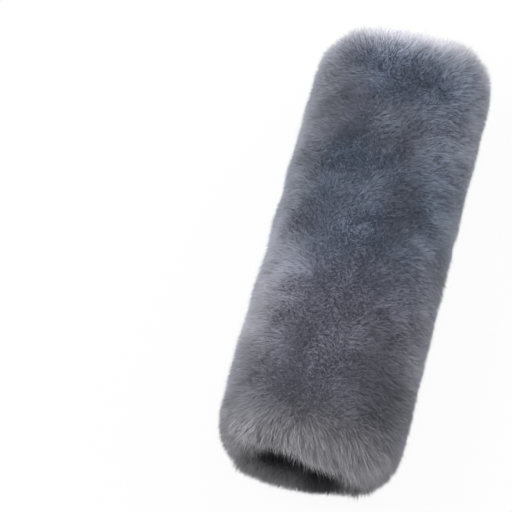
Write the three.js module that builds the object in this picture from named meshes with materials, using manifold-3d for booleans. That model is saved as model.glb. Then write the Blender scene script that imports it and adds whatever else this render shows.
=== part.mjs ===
// Seat belt shoulder pad: a panel of wool-bearing hide, wrapped round the belt into a flat tube
// and closed along its back by a touch-close fastening. Millimetres, +Z up. The pad lies on its
// back, the belt runs along Y and X is across. The origin is at the middle of the footprint.
import * as THREE from "three";
import { ParametricGeometry } from "three/addons/geometries/ParametricGeometry.js";
import { mergeVertices } from "three/addons/utils/BufferGeometryUtils.js";
import Module from "manifold-3d";

const wasm = await Module();
wasm.setup();

// The passage that the belt runs through
const PASSAGE_WIDTH = 62;
const PASSAGE_HEIGHT = 15;

// The hide panel, its overlap at the back and the clearance between pieces that touch
const HIDE_THICKNESS = 1.2;
const SLEEVE_LENGTH = 245;
const LAP_WIDTH = 34;
const CLEARANCE = 0.3;

// The two halves of the fastening and the thread that sews them down
const TAPE_THICKNESS = 1.1;
const TAPE_LENGTH = 225;
const HOOK_TAPE_WIDTH = 20;
const LOOP_TAPE_WIDTH = 28;
const TAPE_CORNER_RADIUS = 2;
const SEAM_INSET = 2;
const THREAD_DIAMETER = 0.6;
const STITCH_LENGTH = 4.5;
const STITCH_DIP = 0.35;

// The wool: its length above, beside and under the hide, and past each end of it
const PILE_ABOVE = 15;
const PILE_BESIDE = 13.8;
const PILE_UNDER = 10;
const PILE_OVERHANG = 15;

// The outer form of the wool
const CORNER_RADIUS = 26;
const REST_WIDTH = 54;
const WIDEST_POINT_HEIGHT = 21;
const TOP_FULLNESS = 0.7;
const FOOT_FULLNESS = 0.6;

// The lips at the two mouths: their rounding, where their tip lies in the wool, how far they
// droop into the mouth, and the locks that the fringe falls into
const LIP_LENGTH = 18;
const LIP_TIP = 0.62;
const LIP_DROOP = 4;
const LOCKS = 40;
const LOCK_LENGTH = 3.5;

// The soft relief of the clipped wool, and the parting where the two edges of the panel meet
const TUFT_HEIGHT = 1.1;
const TUFT_PITCH = 21;
const PARTING_WIDTH = 0.8;
const PARTING_FLARE = 5;
const PARTING_FLARE_DEPTH = 4;

// How finely the wool is divided
const SLICES = 2 * LOCKS;
const LENGTH_STEPS = 36;
const LIP_STEPS = 6;
const INSIDE_STEPS = 2;

// The layers of the back, from the ground up
const FLAP_BOTTOM = PILE_UNDER + CLEARANCE;
const FLAP_TOP = FLAP_BOTTOM + HIDE_THICKNESS;
const LOOP_BOTTOM = FLAP_TOP + CLEARANCE;
const LOOP_TOP = LOOP_BOTTOM + TAPE_THICKNESS;
const HOOK_BOTTOM = LOOP_TOP + CLEARANCE;
const TONGUE_BOTTOM = HOOK_BOTTOM + TAPE_THICKNESS + CLEARANCE;
const TONGUE_TOP = TONGUE_BOTTOM + HIDE_THICKNESS;
const PASSAGE_TOP = TONGUE_TOP + PASSAGE_HEIGHT;
const SLEEVE_TOP = PASSAGE_TOP + HIDE_THICKNESS;

const SLEEVE_HALF_WIDTH = PASSAGE_WIDTH / 2 + HIDE_THICKNESS;
const LAP_EDGE = LAP_WIDTH / 2;
const PAD_HALF_WIDTH = SLEEVE_HALF_WIDTH + CLEARANCE + PILE_BESIDE;
const PAD_HEIGHT = SLEEVE_TOP + CLEARANCE + PILE_ABOVE;
const PAD_HALF_LENGTH = SLEEVE_LENGTH / 2 + PILE_OVERHANG;
const PASSAGE_MIDDLE = (TONGUE_TOP + PASSAGE_TOP) / 2;

const woolMaterial = () =>
  new THREE.MeshStandardMaterial({ color: 0x6a7080, roughness: 1, metalness: 0 });
const hideMaterial = () =>
  new THREE.MeshStandardMaterial({ color: 0x4a4643, roughness: 0.85, metalness: 0 });
const tapeMaterial = () =>
  new THREE.MeshStandardMaterial({ color: 0x2b2c31, roughness: 0.8, metalness: 0 });
const threadMaterial = () =>
  new THREE.MeshStandardMaterial({ color: 0x3a3c44, roughness: 0.7, metalness: 0 });

function namedMesh(name, geometry, material) {
  const mesh = new THREE.Mesh(geometry, material);
  mesh.name = name;
  return mesh;
}

// The way in from a three.js geometry to a solid that can be cut, and back again.
function toSolid(geometry) {
  const bare = geometry.clone();
  bare.deleteAttribute("normal");
  bare.deleteAttribute("uv");
  const merged = mergeVertices(bare, 1e-4);
  return new wasm.Manifold(
    new wasm.Mesh({
      numProp: 3,
      vertProperties: new Float32Array(merged.attributes.position.array),
      triVerts: new Uint32Array(merged.index.array),
    }),
  );
}

function toGeometry(solid) {
  const mesh = solid.getMesh();
  const geometry = new THREE.BufferGeometry();
  geometry.setAttribute("position", new THREE.BufferAttribute(mesh.vertProperties, 3));
  geometry.setIndex(new THREE.BufferAttribute(mesh.triVerts, 1));
  geometry.computeVertexNormals();
  return geometry;
}

// A section drawn in X and Z, run along Y for the given length about the middle.
function alongBelt(section, length, curveSegments) {
  const geometry = new THREE.ExtrudeGeometry(section, {
    depth: length,
    bevelEnabled: false,
    curveSegments,
  });
  geometry.rotateX(Math.PI / 2);
  geometry.translate(0, length / 2, 0);
  return geometry;
}

// The hide in section: from the edge of the flap round the left, over the top, round the right
// and back under it all as the tongue, which lies on the flap with the fastening between them.
function hideSection() {
  const leftRadius = (SLEEVE_TOP - FLAP_BOTTOM) / 2;
  const leftX = -SLEEVE_HALF_WIDTH + leftRadius;
  const leftZ = (SLEEVE_TOP + FLAP_BOTTOM) / 2;
  const rightRadius = (SLEEVE_TOP - TONGUE_BOTTOM) / 2;
  const rightX = SLEEVE_HALF_WIDTH - rightRadius;
  const rightZ = (SLEEVE_TOP + TONGUE_BOTTOM) / 2;
  const quarter = Math.PI / 2;
  const section = new THREE.Shape();
  section.moveTo(LAP_EDGE, FLAP_BOTTOM);
  section.lineTo(leftX, FLAP_BOTTOM);
  section.absarc(leftX, leftZ, leftRadius, -quarter, quarter, true);
  section.lineTo(rightX, SLEEVE_TOP);
  section.absarc(rightX, rightZ, rightRadius, quarter, -quarter, true);
  section.lineTo(-LAP_EDGE, TONGUE_BOTTOM);
  section.lineTo(-LAP_EDGE, TONGUE_TOP);
  section.lineTo(rightX, TONGUE_TOP);
  section.absarc(rightX, rightZ, rightRadius - HIDE_THICKNESS, -quarter, quarter, false);
  section.lineTo(leftX, PASSAGE_TOP);
  section.absarc(leftX, leftZ, leftRadius - HIDE_THICKNESS, quarter, -quarter, false);
  section.lineTo(LAP_EDGE, FLAP_TOP);
  section.closePath();
  return section;
}

// The inner outline of the wool in section, a clearance outside the hide.
function woolInside() {
  const bottom = FLAP_BOTTOM - CLEARANCE;
  const top = SLEEVE_TOP + CLEARANCE;
  const step = TONGUE_BOTTOM - CLEARANCE;
  const halfWidth = SLEEVE_HALF_WIDTH + CLEARANCE;
  const leftRadius = (top - bottom) / 2;
  const rightRadius = (top - step) / 2;
  const quarter = Math.PI / 2;
  const outline = new THREE.Path();
  outline.moveTo(LAP_EDGE, bottom);
  outline.lineTo(-halfWidth + leftRadius, bottom);
  outline.absarc(-halfWidth + leftRadius, bottom + leftRadius, leftRadius, -quarter, quarter, true);
  outline.lineTo(halfWidth - rightRadius, top);
  outline.absarc(halfWidth - rightRadius, step + rightRadius, rightRadius, quarter, -quarter, true);
  outline.lineTo(LAP_EDGE, step);
  outline.lineTo(LAP_EDGE, bottom);
  return outline;
}

// The outer outline of the wool in section: flat underneath, full at the sides, crowned on top.
function woolOutside() {
  const foot = REST_WIDTH / 2;
  const shoulder = WIDEST_POINT_HEIGHT + TOP_FULLNESS * (PAD_HEIGHT - WIDEST_POINT_HEIGHT);
  const crown = TOP_FULLNESS * PAD_HALF_WIDTH;
  const heel = WIDEST_POINT_HEIGHT * (1 - FOOT_FULLNESS);
  const toe = foot + FOOT_FULLNESS * (PAD_HALF_WIDTH - foot);
  const outline = new THREE.Path();
  outline.moveTo(LAP_EDGE, 0);
  outline.lineTo(-foot, 0);
  outline.bezierCurveTo(-toe, 0, -PAD_HALF_WIDTH, heel, -PAD_HALF_WIDTH, WIDEST_POINT_HEIGHT);
  outline.bezierCurveTo(-PAD_HALF_WIDTH, shoulder, -crown, PAD_HEIGHT, 0, PAD_HEIGHT);
  outline.bezierCurveTo(crown, PAD_HEIGHT, PAD_HALF_WIDTH, shoulder, PAD_HALF_WIDTH, WIDEST_POINT_HEIGHT);
  outline.bezierCurveTo(PAD_HALF_WIDTH, heel, toe, 0, foot, 0);
  outline.lineTo(LAP_EDGE, 0);
  return outline;
}

// How far the end of the wool lies back from the middle of the end, to round the corners.
function cornerRecess(x) {
  const past = Math.max(0, Math.abs(x) - (PAD_HALF_WIDTH - CORNER_RADIUS));
  return CORNER_RADIUS - Math.sqrt(Math.max(0, CORNER_RADIUS ** 2 - past ** 2));
}

// Tips and hollows of the locks round a mouth, from 0 to LOCK_LENGTH.
function lock(u, end) {
  const tip = 1 - Math.abs(Math.cos(Math.PI * LOCKS * u));
  const unevenness = 0.75 + 0.25 * Math.sin(17 * u + 5 * Math.sin(23 * u + end));
  return LOCK_LENGTH * tip * unevenness;
}

// The soft hills and hollows of the clipped wool, from -1 to 1, by the way round and along.
function tuft(round, along) {
  const turn = (2 * Math.PI) / TUFT_PITCH;
  const drift = 0.9 * Math.sin(turn * along * 0.31 + 1) + 0.7 * Math.sin(turn * round * 0.43);
  const broad = Math.sin(turn * round * 0.61 + drift) * Math.sin(turn * along * 0.53 - drift);
  const fine = Math.sin(turn * round * 1.3 + 2 * drift) * Math.sin(turn * along * 1.1 + drift);
  return 0.6 * broad + 0.4 * fine;
}

// One closed skin: out along the wool, over the far lip, back along the hide, over the near lip.
function woolGeometry() {
  const outside = woolOutside();
  const inside = woolInside();
  const girth = outside.getLength();
  const stacks = LENGTH_STEPS + INSIDE_STEPS + 2 * LIP_STEPS;
  const farLip = LENGTH_STEPS;
  const back = farLip + LIP_STEPS;
  const nearLip = back + INSIDE_STEPS;
  const hideEnd = SLEEVE_LENGTH / 2 + CLEARANCE;

  // The tip of the wool at this place round the section, for the far (1) or near (-1) end.
  function rim(u, end) {
    const outer = outside.getPointAt(u);
    const inner = inside.getPointAt(u);
    const x = outer.x + (inner.x - outer.x) * LIP_TIP;
    return PAD_HALF_LENGTH - LOCK_LENGTH - cornerRecess(x) + lock(u, end);
  }

  // A point through the wool, from its outside (0) to its inside (1), drawn in by the droop.
  function through(u, depth, droop) {
    const outer = outside.getPointAt(u);
    const inner = inside.getPointAt(u);
    const aim = new THREE.Vector2(inner.x * 0.5, PASSAGE_MIDDLE);
    const above = THREE.MathUtils.smoothstep(inner.y, FLAP_BOTTOM, PASSAGE_MIDDLE);
    inner.addScaledVector(aim.sub(inner).normalize(), droop * above);
    return outer.lerp(inner, depth);
  }

  function lipPoint(u, share, end) {
    const angle = Math.PI * share;
    const tip = rim(u, end);
    const onOutside = share <= 0.5;
    const span = onOutside ? LIP_TIP : 1 - LIP_TIP;
    const depth = LIP_TIP - span * Math.cos(angle);
    const start = onOutside ? tip - LIP_LENGTH : hideEnd;
    const y = start + (tip - start) * Math.sin(angle);
    const point = through(u, depth, LIP_DROOP * Math.sin(angle / 2));
    return [point.x, end * y, point.y];
  }

  function outsidePoint(u, share) {
    const near = LIP_LENGTH - rim(u, -1);
    const far = rim(u, 1) - LIP_LENGTH;
    const y = near + (far - near) * share;
    const point = outside.getPointAt(u);
    const inner = inside.getPointAt(u);
    const outward = point.clone().sub(inner).normalize();
    const fade = Math.sin(Math.PI * share) ** 0.5 * THREE.MathUtils.smoothstep(point.y, 1, 14);
    point.addScaledVector(outward, TUFT_HEIGHT * fade * (tuft(u * girth, y) - 0.5));
    return [point.x, y, point.y];
  }

  function insidePoint(u, share) {
    const point = inside.getPointAt(u);
    return [point.x, hideEnd * (1 - 2 * share), point.y];
  }

  function surface(u, v, target) {
    const row = Math.round(v * stacks) % stacks;
    const turn = (Math.round(u * SLICES) % SLICES) / SLICES;
    if (row <= farLip) target.set(...outsidePoint(turn, row / LENGTH_STEPS));
    else if (row < back) target.set(...lipPoint(turn, (row - farLip) / LIP_STEPS, 1));
    else if (row <= nearLip) target.set(...insidePoint(turn, (row - back) / INSIDE_STEPS));
    else target.set(...lipPoint(turn, 1 - (row - nearLip) / LIP_STEPS, -1));
  }

  return new ParametricGeometry(surface, SLICES, stacks);
}

// The narrow parting between the two edges of the panel, wider where the wool rounds off.
function partingSection() {
  const left = LAP_EDGE + CLEARANCE;
  const right = left + PARTING_WIDTH;
  const middle = (left + right) / 2;
  const below = -1;
  const section = new THREE.Shape();
  section.moveTo(left, TONGUE_BOTTOM);
  section.lineTo(left, PARTING_FLARE_DEPTH);
  section.quadraticCurveTo(left, 0.25 * PARTING_FLARE_DEPTH, middle - PARTING_FLARE / 2, 0);
  section.lineTo(middle - PARTING_FLARE / 2, below);
  section.lineTo(middle + PARTING_FLARE / 2, below);
  section.lineTo(middle + PARTING_FLARE / 2, 0);
  section.quadraticCurveTo(right, 0.25 * PARTING_FLARE_DEPTH, right, PARTING_FLARE_DEPTH);
  section.lineTo(right, TONGUE_BOTTOM);
  section.closePath();
  return section;
}

function woolPile() {
  const whole = toSolid(woolGeometry());
  const parting = toSolid(alongBelt(partingSection(), 2 * PAD_HALF_LENGTH + 10, 4));
  return namedMesh("wool_pile", toGeometry(whole.subtract(parting)), woolMaterial());
}

function hideSleeve() {
  return namedMesh("hide_sleeve", alongBelt(hideSection(), SLEEVE_LENGTH, 14), hideMaterial());
}

// A strip of tape with rounded corners, lying flat along the belt with its underside at bottom.
function tape(name, width, bottom) {
  const x = width / 2;
  const y = TAPE_LENGTH / 2;
  const r = TAPE_CORNER_RADIUS;
  const outline = new THREE.Shape();
  outline.moveTo(-x + r, -y);
  outline.lineTo(x - r, -y);
  outline.absarc(x - r, -y + r, r, -Math.PI / 2, 0, false);
  outline.lineTo(x, y - r);
  outline.absarc(x - r, y - r, r, 0, Math.PI / 2, false);
  outline.lineTo(-x + r, y);
  outline.absarc(-x + r, y - r, r, Math.PI / 2, Math.PI, false);
  outline.lineTo(-x, -y + r);
  outline.absarc(-x + r, -y + r, r, Math.PI, 1.5 * Math.PI, false);
  const geometry = new THREE.ExtrudeGeometry(outline, {
    depth: TAPE_THICKNESS,
    bevelEnabled: false,
    curveSegments: 3,
  });
  geometry.translate(0, 0, bottom);
  return namedMesh(name, geometry, tapeMaterial());
}

// A seam: one thread that rises over each stitch and dips to the cloth between two of them.
class SeamCurve extends THREE.Curve {
  constructor(x, length, height) {
    super();
    this.x = x;
    this.length = length;
    this.height = height;
    this.stitches = Math.round(length / STITCH_LENGTH);
  }

  getPoint(t, target = new THREE.Vector3()) {
    const rise = STITCH_DIP * Math.abs(Math.sin(Math.PI * this.stitches * t));
    return target.set(this.x, (t - 0.5) * this.length, this.height + rise);
  }

  getPointAt(t, target) {
    return this.getPoint(t, target);
  }
}

function seam(name, x, surface) {
  const radius = THREAD_DIAMETER / 2;
  const curve = new SeamCurve(x, TAPE_LENGTH - 2 * SEAM_INSET, surface + CLEARANCE + radius);
  const section = new THREE.Shape();
  section.absarc(0, 0, radius, 0, 2 * Math.PI, false);
  const geometry = new THREE.ExtrudeGeometry(section, {
    extrudePath: curve,
    steps: 2 * curve.stitches,
    curveSegments: 3,
    bevelEnabled: false,
  });
  return namedMesh(name, geometry, threadMaterial());
}

const pad = new THREE.Group();
pad.add(woolPile());
pad.add(hideSleeve());
pad.add(tape("loop_tape", LOOP_TAPE_WIDTH, LOOP_BOTTOM));
pad.add(tape("hook_tape", HOOK_TAPE_WIDTH, HOOK_BOTTOM));
const loopSeamX = LOOP_TAPE_WIDTH / 2 - SEAM_INSET;
const hookSeamX = HOOK_TAPE_WIDTH / 2 - SEAM_INSET;
pad.add(seam("loop_stitch_row_1", -loopSeamX, LOOP_TOP));
pad.add(seam("loop_stitch_row_2", loopSeamX, LOOP_TOP));
pad.add(seam("hook_stitch_row_1", -hookSeamX, TONGUE_TOP));
pad.add(seam("hook_stitch_row_2", hookSeamX, TONGUE_TOP));

export default pad;
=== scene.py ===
"""The looks of a wool seat belt shoulder pad: its dense clipped wool, the hide that the wool grows
from, the tapes and thread of its closure, and a plain studio round it."""

import math
from itertools import product

import bpy
import numpy as np
from mathutils import Matrix, Vector
from mathutils.kdtree import KDTree


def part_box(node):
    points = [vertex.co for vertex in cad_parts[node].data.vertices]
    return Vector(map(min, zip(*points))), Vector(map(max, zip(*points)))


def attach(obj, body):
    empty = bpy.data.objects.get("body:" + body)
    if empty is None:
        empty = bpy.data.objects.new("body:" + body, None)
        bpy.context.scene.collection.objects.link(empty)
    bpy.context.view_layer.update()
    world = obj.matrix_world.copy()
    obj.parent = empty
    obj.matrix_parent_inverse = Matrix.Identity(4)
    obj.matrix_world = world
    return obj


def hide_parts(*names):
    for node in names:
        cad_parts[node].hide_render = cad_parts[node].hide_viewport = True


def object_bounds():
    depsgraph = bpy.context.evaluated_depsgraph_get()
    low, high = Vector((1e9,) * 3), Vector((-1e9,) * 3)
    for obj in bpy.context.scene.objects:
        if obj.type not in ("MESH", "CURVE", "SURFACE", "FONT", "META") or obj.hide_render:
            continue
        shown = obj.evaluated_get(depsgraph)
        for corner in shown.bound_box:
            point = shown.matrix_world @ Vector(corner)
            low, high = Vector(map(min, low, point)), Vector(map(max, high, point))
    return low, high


bl_info = {
    "name": "Wool Seat Belt Shoulder Pad",
    "version": (1, 0, 0),
    "blender": (4, 5, 0),
    "location": "View3D > Sidebar > Shoulder Pad",
    "description": "Grows the wool of a seat belt shoulder pad and finishes its hide, tapes and thread",
    "category": "Object",
}

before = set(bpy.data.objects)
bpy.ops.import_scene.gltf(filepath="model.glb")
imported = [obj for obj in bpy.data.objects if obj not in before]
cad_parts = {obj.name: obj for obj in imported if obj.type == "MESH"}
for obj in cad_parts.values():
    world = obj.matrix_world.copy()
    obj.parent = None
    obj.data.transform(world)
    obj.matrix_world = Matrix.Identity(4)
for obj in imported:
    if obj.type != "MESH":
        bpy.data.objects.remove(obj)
CAD_LOW, CAD_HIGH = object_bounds()
WOOL_HIGH = np.array(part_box("wool_pile")[1])
HIDE_LOW, HIDE_HIGH = (np.array(corner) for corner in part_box("hide_sleeve"))

# The picture's size and where the middle of the pad lies in it, in pixels, and the width of the
# camera's frame in millimetres
PICTURE_SIZE = 512
PAD_MIDDLE_IN_PICTURE = (359.93, 249.96)
SENSOR_WIDTH = 36.0

# The edge of the hide's flap underneath, where the two edges of the wool meet, and the strip
# without strands there: half its width, how high it reaches and how far from the pad's middle
PARTING_X = 0.0176
PARTING_HALF_WIDTH = 0.0007
PARTING_HEIGHT = 0.008
PARTING_REACH = 0.120

# The plug that closes the parting: its width and height, how high its middle lies, and how far
# short of either end it stops
PLUG_WIDTH = 0.0032
PLUG_HEIGHT = 0.0122
PLUG_MIDDLE_Z = 0.0069
PLUG_END_GAP = 0.0032

# How finely the undercoat is divided, and how often it is smoothed
UNDERCOAT_GRAIN = 0.0020
UNDERCOAT_SMOOTHINGS = 6

# How near to the hide a point counts as the wool's inner wall, across it and past its two ends
INNER_WALL_MARGIN = 0.0021
INNER_END_MARGIN = 0.0016

# The share by which the wool of the left side is shallower
SHALLOWER_AT_LEFT = 0.35

# Where the body turns into a mouth's rim, by the distance along the pad from its middle
RIM_START = 0.112
RIM_FULL = 0.128

# Swellings that shape the near mouth, each with its middle and its half sizes: the two ends, the
# right of the upper lip, which sags, and the lower lip, which stands out below
MOUTH_SWELLINGS = (
    ((-0.0310, -0.1262, 0.0190), (0.0080, 0.0057, 0.0135)),
    ((0.0260, -0.1280, 0.0200), (0.0115, 0.0065, 0.0165)),
    ((0.0170, -0.1300, 0.0335), (0.0230, 0.0072, 0.0100)),
    ((-0.0040, -0.1310, 0.0078), (0.0330, 0.0080, 0.0075)),
)

# Soft clouds of paler or darker wool, each with its middle, its half sizes and its strength: partly dye
# patches, partly painted light and shade, such as the painted pale rim at the far end and the painted
# shade on the right of the near end and of its lower lip
DYE_AND_PAINTED_LIGHT_CLOUDS = (
    ((-0.030, -0.045, 0.042), (0.024, 0.060, 0.060), 0.42),
    ((-0.008, 0.132, 0.048), (0.068, 0.030, 0.021), 1.08),
    ((-0.026, 0.074, 0.042), (0.022, 0.032, 0.060), -0.45),
    ((0.030, 0.084, 0.040), (0.020, 0.052, 0.060), 0.38),
    ((-0.008, 0.090, 0.047), (0.014, 0.045, 0.060), 0.26),
    ((-0.003, 0.000, 0.047), (0.022, 0.030, 0.060), 0.26),
    ((0.000, -0.048, 0.047), (0.026, 0.034, 0.060), 0.32),
    ((0.012, 0.055, 0.047), (0.007, 0.070, 0.060), -0.12),
    ((0.024, -0.060, 0.047), (0.014, 0.018, 0.060), -0.20),
    ((0.034, -0.096, 0.034), (0.028, 0.038, 0.060), -0.58),
    ((-0.046, -0.108, 0.020), (0.019, 0.052, 0.050), -0.48),
    ((-0.008, 0.112, 0.045), (0.018, 0.030, 0.060), 0.34),
    ((0.002, -0.090, 0.045), (0.026, 0.036, 0.060), 0.20),
    ((0.034, 0.030, 0.036), (0.014, 0.052, 0.060), 0.16),
    ((-0.007, -0.005, 0.047), (0.014, 0.085, 0.060), 0.17),
    ((0.019, 0.012, 0.044), (0.013, 0.085, 0.060), -0.17),
    ((0.027, -0.135, 0.008), (0.026, 0.016, 0.016), -0.34),
)

# Where the wool over the near mouth parts to either side, across the pad
FAN_X = -0.010

# How far the wool of the body leans for each unit of its length: towards the near end, further
# that way where it stands in tufts, and to the right in the tufts
COMBED_TO_NEAR_END = 0.36
COMBED_FURTHER_IN_TUFTS = 0.02
COMBED_TO_RIGHT = 0.25

# What parts the regions of the wool: the length of each end, the upward part of the normal on the face
# and on the back, how surely a root is on the upper lip, and how little painted light the lining gets
# in the painted shade of the mouths
END_LENGTH = 0.024
FACE_FROM = 0.55
BACK_BELOW = -0.6
HANGING_FROM = 0.3
LINING_BELOW = 0.5

# How many strands lean together in a lock, on most of the pad and in the fringe
BODY_LOCK = 22
FRINGE_LOCK = 9

# How deep a strand's root stands in the undercoat, how fast the strand narrows, and how high its
# tip stays above what the pad lies on
ROOT_DEPTH = 0.0006
STRAND_TAPER = 0.7
REST_CLEARANCE = 0.0002

# From which random number, between 0 and 1, a strand of the upper lip is stout and long, and from
# which one a strand elsewhere is long
STOUT_FROM = 0.84
STRAY_FROM = 0.93

# The wool of the back is pressed: how far it leans over, and how much longer and wider it is
PRESSED_LEAN = 1.6
PRESSED_LENGTH = 1.6
PRESSED_WIDTH = 2.6

# How softly strands shine in the open and in the mouths, where the lining's strands are a shaded copy
# of the same wool with less sheen, as painted shade
OPEN_SHEEN = 0.6
SHADED_LINING_SHEEN = 0.1

# The share of its colour that wool keeps where it is least open
LEAST_LIT = 0.10

# The light of the room, how much of the floor glows to the camera, and the lamps, each with its
# place and its power
ROOM_LIGHT = 0.32
FLOOR_GLOW = 0.94
SOFTBOX_SIZE = 0.9
SOFTBOX_AIM = (0, 0, 0.02)
SOFTBOXES = (
    ("Left softbox", (-1.2, 0.0, 0.70), 15.0),
    ("Right softbox", (1.2, 0.1, 0.50), 5.4),
    ("Far softbox", (0.2, 1.4, 0.42), 21.0),
    ("Near softbox", (-0.6, -1.3, 0.60), 5.4),
)


def colour_property(name, description, default):
    """A colour for the panel."""
    return bpy.props.FloatVectorProperty(
        name=name, description=description, default=default, subtype="COLOR", min=0, max=1
    )


class PadWoolSettings(bpy.types.PropertyGroup):
    """Sizes of the wool."""

    undercoat_depth: bpy.props.FloatProperty(
        name="Undercoat depth",
        description="How far the matted undercoat lies below the tips of the wool",
        default=0.0023,
        min=0.001,
        max=0.008,
        unit="LENGTH",
    )
    clipped_above: bpy.props.FloatProperty(
        name="Clipped above",
        description="How far the clipped tips stand above the plain form of the wool",
        default=0.0021,
        min=0.0,
        max=0.004,
        unit="LENGTH",
    )
    fringe_length: bpy.props.FloatProperty(
        name="Fringe length",
        description="Mean length of the longer wool that hangs over the near mouth",
        default=0.0068,
        min=0.002,
        max=0.03,
        unit="LENGTH",
    )
    strand_width: bpy.props.FloatProperty(
        name="Strand width",
        description="Width of a strand at its root",
        default=0.00031,
        min=0.0001,
        max=0.001,
        unit="LENGTH",
    )
    lock_spacing: bpy.props.FloatProperty(
        name="Lock spacing",
        description="Distance between the locks that neighbouring strands lean together in",
        default=0.0024,
        min=0.0005,
        max=0.01,
        unit="LENGTH",
    )


class PadColourSettings(bpy.types.PropertyGroup):
    """Colours of the pad."""

    # Painted shade: how much darker the wool is made deep down, at the roots of the strands and in the
    # undercoat
    wool_root_shade: colour_property(
        "Wool root shade",
        "Shade that the dye takes on deep in the wool",
        (0.68, 0.65, 0.64),
    )
    wool_body: colour_property(
        "Wool body",
        "Slate blue-grey of most of the wool",
        (0.255, 0.328, 0.452),
    )
    wool_mauve: colour_property(
        "Wool mauve",
        "Warmer grey that clouds the wool in patches",
        (0.342, 0.352, 0.438),
    )
    wool_near: colour_property(
        "Wool near the mouth",
        "Plainer grey that the dye fades to at the near end",
        (0.385, 0.380, 0.408),
    )
    wool_tip: colour_property(
        "Wool tips",
        "Pale grey of the ends of the strands",
        (0.86, 0.89, 0.94),
    )
    hide: colour_property(
        "Hide",
        "Flesh side of the hide",
        (0.040, 0.036, 0.034),
    )
    tape: colour_property(
        "Fastening tape",
        "Both halves of the touch-close fastening",
        (0.024, 0.025, 0.031),
    )
    thread: colour_property(
        "Thread",
        "Sewing thread of the tapes",
        (0.055, 0.058, 0.072),
    )


class PadStageSettings(bpy.types.PropertyGroup):
    """The camera and the light."""

    camera_azimuth: bpy.props.FloatProperty(
        name="Camera azimuth",
        description="How far round to the right of the pad's near end the camera stands",
        default=math.radians(13.42),
        subtype="ANGLE",
    )
    camera_elevation: bpy.props.FloatProperty(
        name="Camera elevation",
        description="How steeply the camera looks down",
        default=math.radians(54.74),
        subtype="ANGLE",
    )
    camera_distance: bpy.props.FloatProperty(
        name="Camera distance",
        description="From the camera to the middle of the pad",
        default=1.605,
        unit="LENGTH",
    )
    camera_lens: bpy.props.FloatProperty(
        name="Camera lens",
        description="Focal length in millimetres on a 36 mm wide frame",
        default=217.0,
    )
    floor_colour: colour_property(
        "Floor",
        "Colour of the plain pale floor",
        (0.90, 0.90, 0.905),
    )


def smooth_noise(points, cell, seed):
    """Smooth random vectors from -1 to 1 at the given points, each hill about one cell wide."""
    size = 32
    lattice = np.random.default_rng(seed).uniform(-1, 1, (size, size, size, 3))
    scaled = np.asarray(points) / cell + size
    corner = np.floor(scaled).astype(int)
    part = scaled - corner
    part = part * part * (3 - 2 * part)
    total = np.zeros((len(scaled), 3))
    for step in product((0, 1), repeat=3):
        weight = np.prod(np.where(step, part, 1 - part), axis=1)
        place = (corner + step) % size
        total += weight[:, None] * lattice[place[:, 0], place[:, 1], place[:, 2]]
    return total


def unit(vectors):
    """The vectors at a length of one."""
    return vectors / np.maximum(np.linalg.norm(vectors, axis=1, keepdims=True), 1e-9)


def ramp(values, low, high):
    """A smooth rise from 0 at low to 1 at high."""
    share = np.clip((values - low) / (high - low), 0, 1)
    return share * share * (3 - 2 * share)


def select_only(piece):
    """Leaves one object selected and active."""
    bpy.ops.object.select_all(action="DESELECT")
    piece.select_set(True)
    bpy.context.view_layer.objects.active = piece


def vertex_array(mesh, name):
    """A mesh's vertex vectors as an array."""
    values = np.empty(len(mesh.vertices) * 3, np.float32)
    mesh.vertices.foreach_get(name, values)
    return values.reshape(-1, 3).astype(float)


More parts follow.
